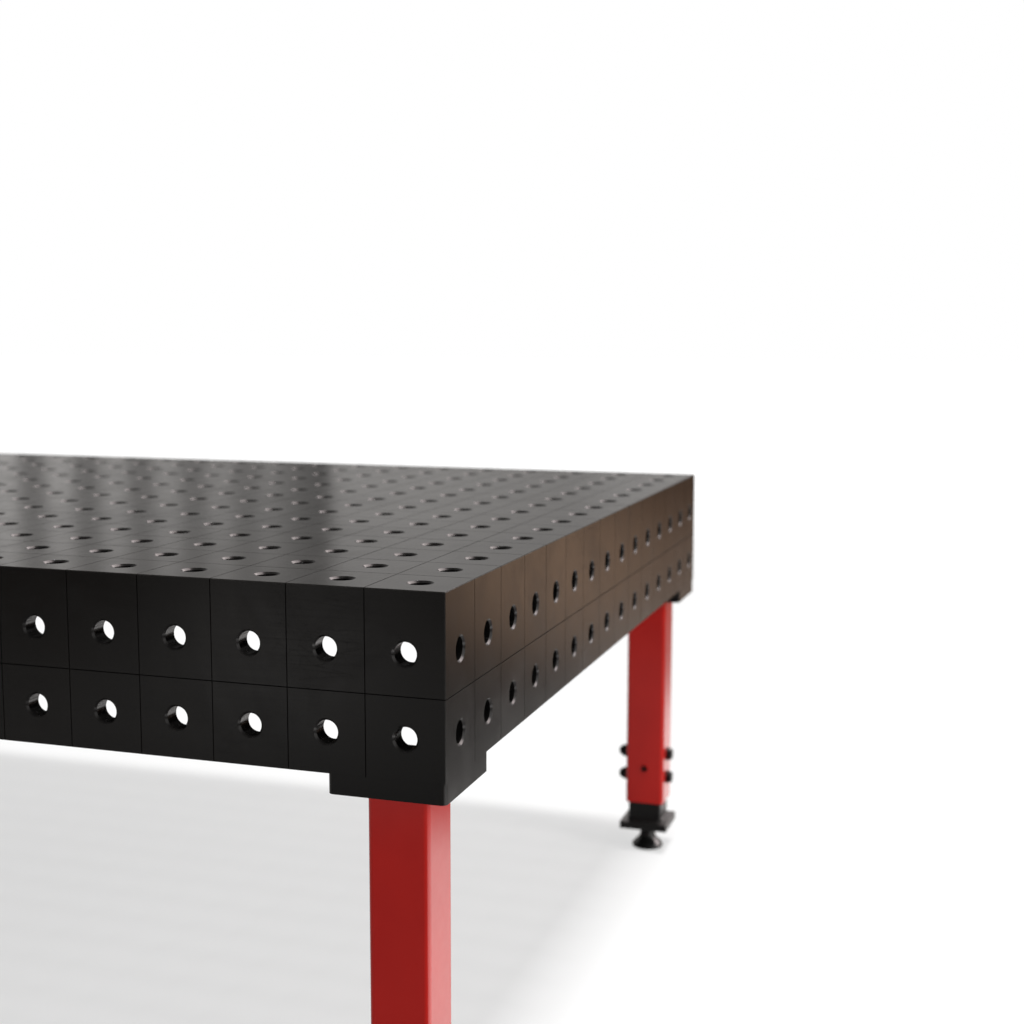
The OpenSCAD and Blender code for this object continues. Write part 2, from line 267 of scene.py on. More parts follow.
def steel_plate(name, base, brown, spec=0.5, rough=0.3, grain_axis="x", edge_wear=True, marks=True, relief=0.05):
    """Dark nitrided plate: faint grinding lines, cloudy colour, smudges, rubbed edges."""
    m, nt, b = material(name)
    n = N(nt)
    obj = n.tc.outputs["Object"]
    cloud = n.noise(obj, 3.1, 5.0, 0.6)
    fine = n.noise(obj, 38.0, 6.0, 0.62)
    scale = (1.2, 55.0, 55.0) if grain_axis == "x" else (55.0, 1.2, 55.0)
    grind = n.noise(n.coord(scale), 7.0, 3.0, 0.6)
    grind2 = n.noise(n.coord(tuple(s * 4.3 for s in scale), loc=(3.1, 1.7, 0.4)), 6.0, 2.0, 0.5)
    smudge = n.ramp(n.noise(n.coord(loc=(7, 3, 1)), 6.5, 4.0, 0.65, 0.6), 0.42, 0.72)
    col = n.mix(n.ramp(cloud, 0.3, 0.7), base, brown)
    col = n.mix(n.math("MULTIPLY", n.ramp(fine, 0.35, 0.75), 0.3), col, tuple(c * 1.6 for c in base))
    worn = None
    if edge_wear:
        x, y, z = n.sep(obj)
        a = n.math("SUBTRACT", L2, n.math("ABSOLUTE", x))
        c = n.math("SUBTRACT", W2, n.math("ABSOLUTE", y))
        d = n.math("SUBTRACT", H, z)
        mn = n.math("MINIMUM", n.math("MINIMUM", a, c), d)
        mx = n.math("MAXIMUM", n.math("MAXIMUM", a, c), d)
        mid = n.math("SUBTRACT", n.math("SUBTRACT", n.math("ADD", n.math("ADD", a, c), d), mn), mx)
        wob = n.math("MULTIPLY", n.noise(obj, 90.0, 4.0, 0.7), 0.0032)
        worn = n.ramp(n.math("SUBTRACT", mid, wob), -0.0014, 0.0002, 1.0, 0.0)
        col = n.mix(n.math("MULTIPLY", worn, 0.07), col, (0.12, 0.112, 0.105))
    n.link(col, b.inputs["Base Color"])
    r = n.math("ADD", rough, n.math("MULTIPLY", n.math("SUBTRACT", grind, 0.5), 0.07))
    r = n.math("ADD", r, n.math("MULTIPLY", smudge, 0.045))
    r = n.math("ADD", r, n.math("MULTIPLY", n.math("SUBTRACT", fine, 0.5), 0.05), clamp=True)
    n.link(r, b.inputs["Roughness"])
    b.inputs["Metallic"].default_value = 0.0
    b.inputs["Specular IOR Level"].default_value = spec
    h = n.math("ADD", n.math("MULTIPLY", grind, 0.6), n.math("MULTIPLY", grind2, 0.4))
    nrm = n.bump(h, relief, 0.00016)
    if marks:
        sc = n.math("MINIMUM", n.voronoi(n.coord((1.0, 14.0, 14.0), rot=(0, 0, 0.5)), 5.0, "DISTANCE_TO_EDGE"),
                    n.voronoi(n.coord((13.0, 1.0, 13.0), rot=(0, 0, -0.35)), 4.0, "DISTANCE_TO_EDGE"))
        scratch = n.math("MULTIPLY", n.ramp(sc, 0.0, 0.006, 1.0, 0.0), n.ramp(n.noise(obj, 4.0, 3.0), 0.52, 0.62))
        nrm = n.bump(scratch, 0.12, -0.0002, nrm)
    n.link(nrm, b.inputs["Normal"])
    return m


def bore_steel(name, col_a, col_b, rough=0.26, metallic=0.7):
    """Bored and countersunk hole: turning rings and a brighter cut surface."""
    m, nt, b = material(name)
    n = N(nt)
    obj = n.tc.outputs["Object"]
    spots = n.noise(obj, 160.0, 4.0, 0.6)
    rings = n.noise(n.coord((300.0, 300.0, 2600.0)), 1.0, 2.0, 0.5)
    n.link(n.mix(n.ramp(spots, 0.35, 0.7), col_a, col_b), b.inputs["Base Color"])
    n.link(n.math("ADD", rough, n.math("MULTIPLY", spots, 0.18)), b.inputs["Roughness"])
    b.inputs["Metallic"].default_value = metallic
    n.link(n.bump(rings, 0.12, 0.0001), b.inputs["Normal"])
    return m


def powder_coat(name, col, dark, rough=0.33, peel=0.35, coat=0.35, spec=0.5, scale=900.0):
    """Powder coat: orange peel, slight colour drift, dust specks."""
    m, nt, b = material(name)
    n = N(nt)
    obj = n.tc.outputs["Object"]
    drift = n.noise(obj, 9.0, 4.0, 0.55)
    peel_a = n.noise(obj, scale, 2.0, 0.45)
    peel_b = n.noise(n.coord(loc=(2, 5, 1)), scale * 0.35, 2.0, 0.5)
    dust = n.ramp(n.noise(obj, 420.0, 3.0, 0.7), 0.7, 0.8)
    n.link(n.mix(n.math("MULTIPLY", dust, 0.05), n.mix(n.ramp(drift, 0.3, 0.72), col, dark), (0.6, 0.55, 0.5)),
           b.inputs["Base Color"])
    n.link(n.math("ADD", rough, n.math("MULTIPLY", n.math("SUBTRACT", n.noise(obj, 55.0, 4.0, 0.6), 0.5), 0.16)),
           b.inputs["Roughness"])
    b.inputs["Specular IOR Level"].default_value = spec
    b.inputs["Coat Weight"].default_value = coat
    b.inputs["Coat Roughness"].default_value = 0.10
    h = n.math("ADD", n.math("MULTIPLY", peel_a, 0.55), n.math("MULTIPLY", peel_b, 0.6))
    n.link(n.bump(h, peel, 0.00018), b.inputs["Normal"])
    return m


def metal(name, col_a, col_b, rough=0.35, metallic=1.0, scale=240.0, bump=0.15, worn=(0.3, 0.3, 0.3), wear=0.3):
    """Small hardware: mottled finish, tool marks, rubbed spots."""
    m, nt, b = material(name)
    n = N(nt)
    obj = n.tc.outputs["Object"]
    mott = n.noise(obj, scale, 5.0, 0.62)
    big = n.noise(n.coord(loc=(4, 1, 8)), scale * 0.22, 3.0, 0.6)
    rub = n.ramp(n.noise(n.coord(loc=(1, 9, 3)), scale * 0.6, 4.0, 0.7), 0.6, 0.74)
    col = n.mix(n.ramp(mott, 0.3, 0.72), col_a, col_b)
    n.link(n.mix(n.math("MULTIPLY", rub, wear), col, worn), b.inputs["Base Color"])
    n.link(n.math("ADD", rough, n.math("MULTIPLY", n.math("SUBTRACT", big, 0.5), 0.25), clamp=True), b.inputs["Roughness"])
    b.inputs["Metallic"].default_value = metallic
    n.link(n.bump(mott, bump, 0.00012), b.inputs["Normal"])
    return m


M_TOP = steel_plate("nitrided_top", (0.0066, 0.0062, 0.0059), (0.0080, 0.0068, 0.0059), rough=0.15, grain_axis="y", relief=0.03)
# the upright plates: the same nitrided steel as the top, ground along x, with a base colour darker than the top's as
# painted shade on the upright faces
M_SIDE_SHADED = steel_plate("nitrided_side_shaded", (0.0044, 0.0042, 0.0039), (0.0054, 0.0047, 0.0041), rough=0.18, grain_axis="x", relief=0.04)
M_BORE = bore_steel("bored_edge", (0.0040, 0.0037, 0.0035), (0.0085, 0.0078, 0.0074), rough=0.16, metallic=0.0)
M_SCRIBE = steel_plate("scribed_line", (0.0028, 0.0026, 0.0024), (0.0032, 0.0029, 0.0027), rough=0.6, spec=0.02,
                       edge_wear=False, marks=False)
M_RIB = steel_plate("mill_black_rib", (0.016, 0.0155, 0.016), (0.027, 0.021, 0.017), rough=0.5, spec=0.4,
                    edge_wear=False)
M_RED = powder_coat("red_powder_coat", (0.45, 0.0085, 0.0048), (0.41, 0.0072, 0.0042), rough=0.42, peel=0.06, coat=0.9, spec=0.1)
M_BLACK = powder_coat("black_powder_coat", (0.0075, 0.0072, 0.0070), (0.0105, 0.010, 0.0095), rough=0.36, peel=0.10,
                      coat=0.1)
M_PAD = powder_coat("foot_pad_black", (0.006, 0.006, 0.006), (0.010, 0.0098, 0.0095), rough=0.2, peel=0.05, coat=0.5)
M_BOLT = metal("black_oxide", (0.012, 0.012, 0.013), (0.024, 0.023, 0.022), rough=0.38, metallic=0.6,
               worn=(0.10, 0.095, 0.09), wear=0.35)
M_ZINC = metal("zinc_plated", (0.33, 0.33, 0.34), (0.45, 0.45, 0.46), rough=0.3, metallic=1.0, worn=(0.25, 0.25, 0.25))
M_WELD = metal("weld_bead", (0.05, 0.046, 0.043), (0.10, 0.08, 0.065), rough=0.42, metallic=0.8, scale=420.0,
               bump=0.4, worn=(0.13, 0.09, 0.12), wear=0.4)
M_WELD_PAINTED = powder_coat("painted_weld", (0.008, 0.0078, 0.0075), (0.011, 0.0105, 0.010), rough=0.38, peel=0.15,
                             coat=0.1)


# ------------------------------------------------------------------ drilled and scribed plates
def perimeter(x0, x1, y0, y1, seg):
    """Points anticlockwise round a rectangle from its lower left corner, seg in all."""
    k = seg // 4
    f = np.arange(k) / k
    return np.concatenate([
        np.stack([x0 + (x1 - x0) * f, np.full(k, y0)], 1),
        np.stack([np.full(k, x1), y0 + (y1 - y0) * f], 1),
        np.stack([x1 - (x1 - x0) * f, np.full(k, y1)], 1),
        np.stack([np.full(k, x0), y1 - (y1 - y0) * f], 1)])


def drilled_plate(name, node, us, vs, centres_v, mitred, place, mats, SEG=48, t=PT, r=0.014, cham=0.0025,
                  groove=0.00065, depth=0.0006):
    """A plate as a sheet of scribed cells, each with a countersunk hole.

    us, vs: cell boundaries. centres_v: hole centre of each row. mitred: (left, right, bottom, top).
    place: maps an array of (u, v, w), w = 0 on the outer face and negative inside, to the row frame."""
    ang = np.radians(-135.0 + 360.0 * np.arange(SEG) / SEG)
    ring = np.stack([np.cos(ang), np.sin(ang)], 1)
    verts, faces, idx = [], [], []
    base = 0
    nu, nv = len(us) - 1, len(vs) - 1
    for j in range(nv):
        for i in range(nu):
            u0, u1, v0, v1 = us[i], us[i + 1], vs[j], vs[j + 1]
            outer = (i == 0, i == nu - 1, j == 0, j == nv - 1)

            def inset(kind_inner, kind_mitre, kind_plain):
                out = []
                for s in range(4):
                    out.append(kind_inner if not outer[s] else (kind_mitre if mitred[s] else kind_plain))
                return u0 + out[0], u1 - out[1], v0 + out[2], v1 - out[3]

            c = np.array([(us[i] + us[i + 1]) / 2, centres_v[j]])
            face_rect = perimeter(*inset(groove, 1.6 * depth, 0.00012), SEG)
            low_rect = perimeter(*inset(0.0, 0.6 * depth, 0.0), SEG)
            back_rect = perimeter(*inset(0.0, t, 0.0), SEG)
            rings = [(low_rect, -depth), (face_rect, 0.0), (c + ring * (r + cham), 0.0), (c + ring * r, -cham),
                     (c + ring * r, -t + cham), (c + ring * (r + cham), -t), (back_rect, -t)]
            kinds = [2, 0, 1, 1, 1, 0]
            for p, w in rings:
                verts.append(np.column_stack([p, np.full(SEG, w)]))
            for q in range(len(rings) - 1):
                a, b2 = base + q * SEG, base + (q + 1) * SEG
                for k in range(SEG):
                    k2 = (k + 1) % SEG
                    faces.append((a + k, a + k2, b2 + k2, b2 + k))
                    side = (2, 1, 3, 0)[k // (SEG // 4)]
                    idx.append(0 if (q == 0 and outer[side]) else kinds[q])
            top, low = base, base + (len(rings) - 1) * SEG
            for k in range(SEG):
                side = (2, 1, 3, 0)[k // (SEG // 4)]
                if outer[side]:
                    k2 = (k + 1) % SEG
                    faces.append((low + k, low + k2, top + k2, top + k))
                    idx.append(0)
            base += len(rings) * SEG
    pts = place(np.concatenate(verts))
    obj = mesh_obj(name, pts, faces, mats, idx, angle=24.0, merge=2e-6)
    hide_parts(node)
    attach(obj, "table")
    return obj


U_LONG = np.linspace(-L2, L2, round(2 * L2 / G) + 1)
U_SHORT = np.linspace(-W2, W2, round(2 * W2 / G) + 1)
V_TOP = U_SHORT
V_SIDE = np.array([SIDE_Z, H - 0.125, H])
C_SIDE = [H - 0.175, H - 0.075]
MATS_TOP = [M_TOP, M_BORE, M_SCRIBE]
MATS_SIDE = [M_SIDE_SHADED, M_BORE, M_SCRIBE]

drilled_plate("table_top_sheet", "top_plate", U_LONG, V_TOP, (V_TOP[:-1] + V_TOP[1:]) / 2,
              (True, True, True, True), lambda p: np.column_stack([p[:, 0], p[:, 1], H + p[:, 2]]), MATS_TOP, SEG=32)
drilled_plate("front_side_sheet", "side_plate_front", U_LONG, V_SIDE, C_SIDE, (True, True, False, True),
              lambda p: np.column_stack([p[:, 0], -W2 - p[:, 2], p[:, 1]]), MATS_SIDE)
drilled_plate("rear_side_sheet", "side_plate_rear", U_LONG, V_SIDE, C_SIDE, (True, True, False, True),
              lambda p: np.column_stack([-p[:, 0], W2 + p[:, 2], p[:, 1]]), MATS_SIDE)
drilled_plate("right_end_sheet", "end_plate_right", U_SHORT, V_SIDE, C_SIDE, (True, True, False, True),
              lambda p: np.column_stack([L2 + p[:, 2], p[:, 0], p[:, 1]]), MATS_SIDE)
drilled_plate("left_end_sheet", "end_plate_left", U_SHORT, V_SIDE, C_SIDE, (True, True, False, True),
              lambda p: np.column_stack([-L2 - p[:, 2], -p[:, 0], p[:, 1]]), MATS_SIDE)

# ------------------------------------------------------------------ ribs and corner plates
for n_ in ("rib_long_front", "rib_long_rear", "rib_cross_left", "rib_cross_middle", "rib_cross_right"):
    o_ = refine(n_, M_RIB, 0.0007, 2)
    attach(o_, "table")
for k_ in LEGS:
    # corner plates take the upright plates' steel, with its painted shade
    o_ = refine("corner_plate_" + k_, M_SIDE_SHADED, 0.0009, 3,
                keep_sharp=lambda e: all(abs(v.co.z - SIDE_Z) < 2e-5 for v in e.verts))
    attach(o_, "table")


# ------------------------------------------------------------------ profiles
def rounded_square(w, r, seg):
    pts = []
    for cx, cy, a0 in ((1, -1, -90), (1, 1, 0), (-1, 1, 90), (-1, -1, 180)):
        for s in range(seg + 1):
            a = math.radians(a0 + 90.0 * s / seg)
            pts.append((cx * (w / 2 - r) + r * math.cos(a), cy * (w / 2 - r) + r * math.sin(a)))
    return pts


def square_tube(name, cx, cy, z0, z1, w, r_out, wall, r_in, mat, chamfer=0.0006, seg=8):
    """Square tube with round corners and lightly broken end edges."""
    lo_n = (seg + 1) * 4
    rows = []
    for z, d in ((z0, chamfer), (z0 + chamfer, 0.0), (z1 - chamfer, 0.0), (z1, chamfer)):
        rows.append([(cx + x, cy + y, z) for x, y in rounded_square(w - 2 * d, max(r_out - d, 1e-4), seg)])
    iw = w - 2 * wall
    for z, d in ((z1, chamfer), (z1 - chamfer, 0.0), (z0 + chamfer, 0.0), (z0, chamfer)):
        rows.append([(cx + x, cy + y, z) for x, y in rounded_square(iw + 2 * d, r_in + d, seg)])
    verts = [v for row in rows for v in row]
    faces = []
    m = len(rows)
    for q in range(m):
        a, b = q * lo_n, ((q + 1) % m) * lo_n
        for k in range(lo_n):
            k2 = (k + 1) % lo_n
            faces.append((a + k, a + k2, b + k2, b + k))
    return mesh_obj(name, verts, faces, [mat], merge=1e-7)


def cutter(kind, **kw):
    bm = bmesh.new()
    if kind == "cyl":
        bmesh.ops.create_cone(bm, cap_ends=True, segments=kw.get("seg", 40), radius1=kw["r"], radius2=kw.get("r2", kw["r"]),
                              depth=kw["h"])
    else:                                            # slot: a rod with flat sides, long along z
        seg, r, half = 20, kw["r"], kw["half"]
        pts = [(r * math.cos(math.pi * s / seg), half + r * math.sin(math.pi * s / seg)) for s in range(seg + 1)]
        pts += [(-r * math.cos(math.pi * s / seg), -half - r * math.sin(math.pi * s / seg)) for s in range(seg + 1)]
        lo = [bm.verts.new((x, y, -kw["h"] / 2)) for x, y in pts]
        hi = [bm.verts.new((x, y, kw["h"] / 2)) for x, y in pts]
        bm.faces.new(lo[::-1])
        bm.faces.new(hi)
        for s in range(len(pts)):
            s2 = (s + 1) % len(pts)
            bm.faces.new((lo[s], lo[s2], hi[s2], hi[s]))
    bmesh.ops.recalc_face_normals(bm, faces=bm.faces)
    me = bpy.data.meshes.new("cutter")
    bm.to_mesh(me)
    bm.free()
    o = link(bpy.data.objects.new("cutter", me))
    o.matrix_world = kw["m"]
    bpy.context.view_layer.update()
    return o


def cut(obj, cutters):
    for c in cutters:
        md = obj.modifiers.new("cut", "BOOLEAN")
        md.operation = "DIFFERENCE"
        md.solver = "EXACT"
        md.object = c
    apply_modifiers(obj)
    for c in cutters:
        me = c.data
        bpy.data.objects.remove(c)
        bpy.data.meshes.remove(me)
    finish_normals(obj, 30.0)
    flat_faces(obj)


RX = Matrix.Rotation(math.radians(90), 4, "Y")       # z axis onto x
RY = Matrix.Rotation(math.radians(90), 4, "X")       # z axis onto -y


# ------------------------------------------------------------------ weld beads
def bead(path, n1, n2, leg, pitch=0.0022, closed=False):
    """Rippled fillet weld along a path in the corner between two faces with outward normals n1 and n2."""
    pts = [Vector(p) for p in path]
    out = []
    for a, b in zip(pts[:-1], pts[1:]):
        steps = max(2, int((b - a).length / (pitch / 3)))
        for s in range(steps):
            out.append(a.lerp(b, s / steps))
    out.append(pts[-1])
    n1, n2 = Vector(n1).normalized(), Vector(n2).normalized()
    rows, k = [], 6
    run = 0.0
    for q, p in enumerate(out):
        if q:
            run += (p - out[q - 1]).length
        ph = (run / pitch) % 1.0
        size = leg * (0.94 + 0.12 * math.sqrt(max(0.0, 1 - (2 * ph - 1) ** 2)) + RNG.uniform(-0.015, 0.015))
        end = min(q, len(out) - 1 - q)
        size *= min(1.0, 0.55 + 0.15 * end)
        row = [p - (n1 + n2) * 0.0002]
        for s in range(k + 1):
            f = s / k
            flat = n1 * size * (1 - f) + n2 * size * f
            bulge = (n1 + n2).normalized() * size * 0.16 * math.sin(math.pi * f)
            row.append(p + flat + bulge)
        rows.append(row)
    verts = [v for r_ in rows for v in r_]
    m = k + 2
    faces = []
    for q in range(len(rows) - 1):
        for s in range(m):
            s2 = (s + 1) % m
            faces.append((q * m + s, q * m + s2, (q + 1) * m + s2, (q + 1) * m + s))
    faces.append(tuple(range(m))[::-1])
    faces.append(tuple((len(rows) - 1) * m + s for s in range(m)))
    return verts, faces


def bead_object(name, beads, mat, body):
    verts, faces = [], []
    for v, f in beads:
        base = len(verts)
        verts += v
        faces += [tuple(i + base for i in g) for g in f]
    bm = bmesh.new()
    vs = [bm.verts.new(v) for v in verts]
    for f in faces:
        bm.faces.new([vs[i] for i in f])
    o = from_bmesh(name, bm, [mat], angle=50.0)
    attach(o, body)
    return o


# ------------------------------------------------------------------ hardware
def hex_prism(bm, af, z0, z1, m, chamfer_top=True, chamfer_bottom=False, bore=None, seg=48):
    """Hexagon with the round 30 degree chamfer of a real bolt head or nut, made as rings of seg points."""
    ap, rc = af / 2, af / 2 / math.cos(math.radians(30))

    def hex_r(a):
        a = (a + math.radians(30)) % math.radians(60) - math.radians(30)
        return ap / math.cos(a)

    def ring(z, r_face):
        """Hexagon cut by a cone whose radius at this height is r_face."""
        return [(min(hex_r(2 * math.pi * s / seg), r_face), 2 * math.pi * s / seg, z) for s in range(seg)]

    tan30 = math.tan(math.radians(30))
    rows = []
    r_flat = ap * 0.95

    def chamfer(zf, sign):
        res = []
        depth = (rc - r_flat) * tan30
        for q in range(5):
            d = depth * q / 4
            res.append((zf - sign * d, r_flat + d / tan30))
        return res
    if chamfer_bottom:
        for z, r in chamfer(z0, -1):
            rows.append(ring(z, r))
    else:
        rows.append(ring(z0, 9))
    if chamfer_top:
        for z, r in reversed(chamfer(z1, 1)):
            rows.append(ring(z, r))
    else:
        rows.append(ring(z1, 9))
    if bore:
        c = bore * 0.06
        inner = [[(bore + c, 2 * math.pi * s / seg, z1) for s in range(seg)],
                 [(bore, 2 * math.pi * s / seg, z1 - c) for s in range(seg)],
                 [(bore, 2 * math.pi * s / seg, z0 + c) for s in range(seg)],
                 [(bore + c, 2 * math.pi * s / seg, z0) for s in range(seg)]]
        rows += inner
    vv = [[bm.verts.new(m @ Vector((r * math.cos(a), r * math.sin(a), z))) for r, a, z in row] for row in rows]
    last = len(vv) if bore else len(vv) - 1
    for q in range(last):
        a, b = vv[q], vv[(q + 1) % len(vv)]
        for s in range(seg):
            s2 = (s + 1) % seg
            bm.faces.new((a[s], a[s2], b[s2], b[s]))
    if not bore:
        bm.faces.new(vv[0][::-1])
        bm.faces.new(vv[-1])


def revolve(bm, prof, m, seg=48):
    """Closed solid of revolution from (r, z) points; r = 0 at both ends closes on the axis."""
    rings = []
    for r, z in prof:
        if r < 1e-9:
            rings.append([bm.verts.new(m @ Vector((0, 0, z)))])
        else:
            rings.append([bm.verts.new(m @ Vector((r * math.cos(2 * math.pi * s / seg), r * math.sin(2 * math.pi * s / seg), z)))
                          for s in range(seg)])
    for a, b in zip(rings[:-1], rings[1:]):
        for s in range(seg):
            s2 = (s + 1) % seg
            if len(a) == 1:
                bm.faces.new((a[0], b[s2], b[s]))
            elif len(b) == 1:
                bm.faces.new((a[s], a[s2], b[0]))
            else:
                bm.faces.new((a[s], a[s2], b[s2], b[s]))
    return rings


def thread(bm, r, pitch, z0, z1, m, seg=32, per=8, depth=None, cap0=True, cap1=True, fade=True):
    """External thread as a real helical ridge on a rod, chamfered at both ends, closed by flat caps."""
    depth = depth or pitch * 0.6
    rows = int(round((z1 - z0) / pitch * per))
    grid = []
    for q in range(rows + 1):
        z = z0 + (z1 - z0) * q / rows
        row = []
        for s in range(seg):
            f = (z / pitch - s / seg) % 1.0
            tri = abs(2 * f - 1)                    # 0 at the crest, 1 at the root
            cut_ = depth * min(1.0, max(0.0, (tri - 0.08) / 0.8))
            rr = r - cut_
            edge = min(z - z0, z1 - z)
            if fade:
                rr = min(rr, r - depth + edge * 0.9)
            a = 2 * math.pi * s / seg
            row.append(bm.verts.new(m @ Vector((rr * math.cos(a), rr * math.sin(a), z))))
        grid.append(row)
    for a, b in zip(grid[:-1], grid[1:]):
        for s in range(seg):
            s2 = (s + 1) % seg
            bm.faces.new((a[s], a[s2], b[s2], b[s]))
    if cap0:
        bm.faces.new(grid[0][::-1])
    if cap1:
        bm.faces.new(grid[-1])


def at(x, y, z=0.0, rot=None):
    m = Matrix.Translation((x, y, z))
    return m @ rot if rot is not None else m


def out_x(sx):
    """Maps +z onto the outward x direction of a leg."""
    return Matrix.Rotation(math.radians(90 if sx > 0 else -90), 4, "Y")


# M14 clamping bolts, washers and domed cap nuts through the legs
WT = 0.0025
bm_b, bm_w, bm_n = bmesh.new(), bmesh.new(), bmesh.new()
for k_, (sx, sy) in LEGS.items():
    for z_ in CLAMP_Z:
        turn = RNG.uniform(0, 60)
        m_ = at(sx * (LX + LEG_W / 2), sy * LY, z_, out_x(sx)) @ Matrix.Rotation(math.radians(turn), 4, "Z")
        hex_prism(bm_b, 0.021, WT + 0.0001, WT + 0.00875, m_)
        revolve(bm_b, [(0, -0.0935), (0.0061, -0.0935), (0.0070, -0.0926), (0.007, WT), (0, WT)], m_, 32)
        for z0_ in (0.0, -LEG_W - WT):
            revolve(bm_w, [(0.0075, z0_ + 0.0002), (0.0077, z0_), (0.0137, z0_), (0.014, z0_ + 0.0003),
                           (0.014, z0_ + WT - 0.0003), (0.0137, z0_ + WT), (0.0077, z0_ + WT),
                           (0.0075, z0_ + WT - 0.0002), (0.0075, z0_ + 0.0002)], m_, 48)
        back = m_ @ Matrix.Translation((0, 0, -LEG_W - WT)) @ Matrix.Rotation(math.radians(180), 4, "X")
        back = back @ Matrix.Rotation(math.radians(RNG.uniform(0, 60)), 4, "Z")
        hex_prism(bm_n, 0.0238, 0.0, 0.0112, back, True, True)
        dome = [(0, 0.0094), (0.0115, 0.0094), (0.0115, 0.0095)]
        dome += [(0.0115 * math.cos(math.radians(a)), 0.0095 + 0.0115 * math.sin(math.radians(a))) for a in range(9, 90, 9)]
        revolve(bm_n, dome + [(0, 0.0210)], back, 40)
for bm_ in (bm_b, bm_w, bm_n):
    bmesh.ops.remove_doubles(bm_, verts=bm_.verts, dist=1e-7)
for name_, bm_, node_ in (("clamp_bolt_set", bm_b, "clamp_bolts"), ("clamp_washer_set", bm_w, "clamp_washers"),
                          ("clamp_nut_set", bm_n, "clamp_nuts")):
    o_ = from_bmesh(name_, bm_, [M_BOLT], angle=30.0)
    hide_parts(node_)
    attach(o_, "table")

for n_ in ("set_screws", "flange_screws"):
    o_ = refine(n_, M_BOLT, 0.0004, 2)
    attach(o_, "table")

# ------------------------------------------------------------------ legs
for k_, (sx, sy) in LEGS.items():
    cx, cy = sx * LX, sy * LY
    tube = square_tube("leg_" + k_ + "_tube", cx, cy, LEG_Z0, LEG_Z1, LEG_W, 0.008, 0.005, 0.003, M_RED)
    cuts = [cutter("cyl", r=0.0075, h=0.12, m=at(cx, cy, z_, RX)) for z_ in CLAMP_Z]
    cuts.append(cutter("cyl", r=0.00605, h=0.03, m=at(cx, cy - sy * LEG_W / 2, SET_Z, RY), seg=32))
    cut(tube, cuts)
    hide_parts("leg_tube_" + k_)
    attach(tube, "table")

    bm_ = bmesh.new()
    revolve(bm_, [(0.0062, -0.0002), (0.0062, 0.0004), (0.0067, 0.0008), (0.0083, 0.0009), (0.0087, 0.0006),
                  (0.0089, -0.0002), (0.0062, -0.0002)],
            at(cx, cy - sy * LEG_W / 2, SET_Z, Matrix.Rotation(math.radians(90 * sy), 4, "X")), 48)
    bmesh.ops.remove_doubles(bm_, verts=bm_.verts, dist=1e-7)
    o_ = from_bmesh("leg_" + k_ + "_thread_insert", bm_, [M_RED], angle=30.0)
    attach(o_, "table")

    o_ = refine("leg_flange_" + k_, M_RIB, 0.0004, 2)
    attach(o_, "table")

    low = "leg_lower_" + k_
    inner = square_tube("leg_" + k_ + "_inner", cx, cy, IN_Z0, IN_Z1, IN_W, 0.004, 0.004, 0.001, M_BLACK)
    cut(inner, [cutter("slot", r=0.0075, half=0.0755, h=0.12,
                       m=at(cx, cy, 0.2305) @ Matrix.Rotation(math.radians(90), 4, "X") @ Matrix.Rotation(math.radians(90), 4, "Y"))])
    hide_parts("inner_tube_" + k_)
    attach(inner, low)

    o_ = refine("foot_plate_" + k_, M_BLACK, 0.0012, 3)
    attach(o_, low)

    bm_ = bmesh.new()
    hex_prism(bm_, 0.030, FP_Z1, FP_Z1 + 0.016, at(cx, cy), True, False, bore=0.01005)
    o_ = from_bmesh("leg_" + k_ + "_nut", bm_, [M_BOLT], angle=30.0)
    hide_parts("foot_nut_" + k_)
    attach(o_, low)

    # fillet weld round the inner tube on the foot plate
    beads = []
    h_, c_ = IN_W / 2, 0.004
    for s in range(4):
        r_ = Matrix.Rotation(math.radians(90 * s), 3, "Z")
        d0, d1 = r_ @ Vector((h_, -h_ + c_, 0)), r_ @ Vector((h_, h_ - c_, 0))
        o0 = Vector((cx, cy, FP_Z1))
        beads.append(bead([o0 + d0, o0 + d1], r_ @ Vector((1, 0, 0)), (0, 0, 1), 0.0042))
    bead_object("leg_" + k_ + "_foot_weld", beads, M_WELD_PAINTED, low)

    # spindle: smooth end, hexagon, thread
    bm_ = bmesh.new()
    m_ = at(cx, cy)
    revolve(bm_, [(0, 0.01205), (0.0064, 0.01205), (0.007, 0.0127), (0.007, 0.0387), (0, 0.0387)], m_, 40)
    hex_prism(bm_, 0.030, 0.0387, 0.0487, m_, True, True)
    thread(bm_, 0.010, 0.0025, 0.0487, 0.110, m_, seg=40, per=9, depth=0.00145)
    bmesh.ops.remove_doubles(bm_, verts=bm_.verts, dist=1e-7)
    o_ = from_bmesh("leg_" + k_ + "_spindle", bm_, [M_ZINC], angle=30.0)
    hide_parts("foot_spindle_" + k_)
    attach(o_, "spindle_" + k_)

    # bell shaped pad with a spherical seat
    bm_ = bmesh.new()
    prof = [(0, 0.0), (0.0305, 0.0), (0.0318, 0.0004), (0.0325, 0.0014), (0.0325, 0.0049), (0.0322, 0.0060),
            (0.0313, 0.0073), (0.0292, 0.0100), (0.0262, 0.0132), (0.0232, 0.0160), (0.0207, 0.0186),
            (0.0187, 0.0213), (0.0173, 0.0240), (0.0163, 0.0272), (0.0156, 0.0304), (0.0151, 0.0328),
            (0.0146, 0.0338), (0.0138, 0.0340), (0.0109, 0.0340), (0.0103, 0.0334)]
    lip = math.sqrt(0.01205 ** 2 - 0.0103 ** 2)
    a0 = math.atan2(lip, 0.0103)
    for s in range(13):
        a = a0 - (a0 + math.pi / 2) * s / 12
        prof.append((max(0.0, 0.01205 * math.cos(a)) if s < 12 else 0.0, 0.016 + 0.01205 * math.sin(a)))
    revolve(bm_, prof, m_, 72)
    o_ = from_bmesh("leg_" + k_ + "_pad", bm_, [M_PAD], angle=34.0)
    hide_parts("foot_pad_" + k_)
    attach(o_, "pad_" + k_)

